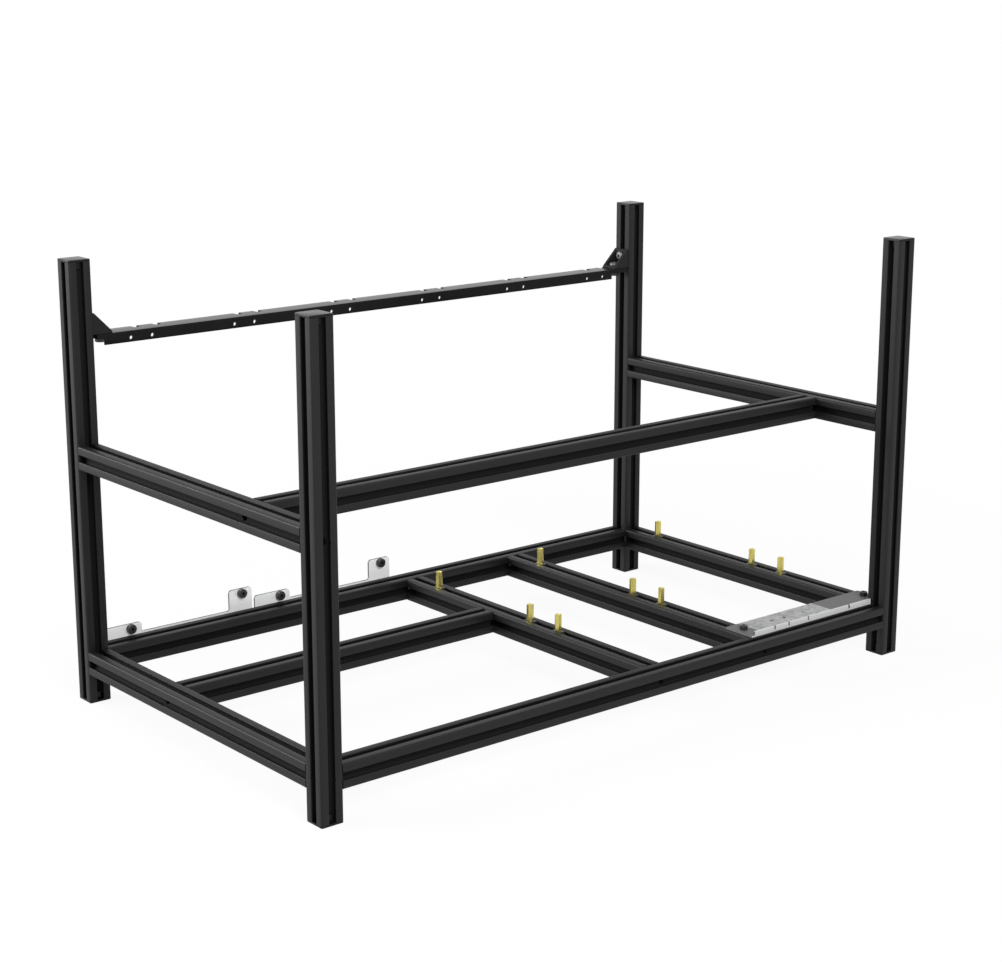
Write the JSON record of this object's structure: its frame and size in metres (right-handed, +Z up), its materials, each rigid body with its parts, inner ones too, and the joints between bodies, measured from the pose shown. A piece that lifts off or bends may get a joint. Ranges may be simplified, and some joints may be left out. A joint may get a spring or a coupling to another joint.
{
  "type": "open-air graphics card frame",
  "caption": "Open rectangular frame of black T-slot extrusions that carries graphics cards, a main board and power supplies in the open air.",
  "frame": {"origin": "on the floor, midway between the four posts' feet", "axes": "+X along the long side to the right, +Y from the front to the card bar side, +Z up"},
  "size_m": [0.64, 0.372, 0.381],
  "materials": {
    "black_anodised": "black anodised, satin, fine extrusion lines",
    "black_cap": "moulded, fine matt grain",
    "black_bar": "black powder coat",
    "black_casting": "die casting, black powder coat",
    "bright_steel": "zinc-plated sheet, lightly brushed",
    "brass": "turned from hex bar",
    "zinc_plate": "zinc-plated",
    "black_screw": "black oxide"
  },
  "bodies": {
    "root": {"post_front_left": "black_anodised", "post_front_right": "black_anodised", "post_back_left": "black_anodised", "post_back_right": "black_anodised", "bottom_rail_front": "black_anodised", "bottom_rail_back": "black_anodised", "bottom_rail_left": "black_anodised", "bottom_rail_right": "black_anodised", "middle_rail_left": "black_anodised", "middle_rail_right": "black_anodised", "card_beam": "black_anodised", "board_crossbar_inner": "black_anodised", "board_crossbar_middle": "black_anodised", "power_supply_beam": "black_anodised", "post_cap_front_left": "black_cap", "post_cap_front_right": "black_cap", "post_cap_back_left": "black_cap", "post_cap_back_right": "black_cap", "foot_cap_front_left": "black_cap", "foot_cap_front_right": "black_cap", "foot_cap_back_left": "black_cap", "foot_cap_back_right": "black_cap", "card_bar": "black_bar", "corner_bracket_left": "black_casting", "corner_bracket_right": "black_casting", "power_supply_bracket_left": "bright_steel", "power_supply_bracket_right": "bright_steel", "tray_plate": "bright_steel", "board_standoffs": "brass", "bracket_post_screws": "zinc_plate", "bracket_bar_screws": "zinc_plate", "bracket_bar_nuts": "zinc_plate", "supply_bracket_screws": "zinc_plate", "joint_screws": "zinc_plate", "bracket_post_t_nuts": "zinc_plate", "supply_bracket_t_nuts": "zinc_plate", "tray_plate_t_nuts": "zinc_plate", "supply_thumb_screws": "black_screw", "tray_plate_screws": "black_screw", "standoff_t_nuts": "black_screw"}
  },
  "joints": []
}
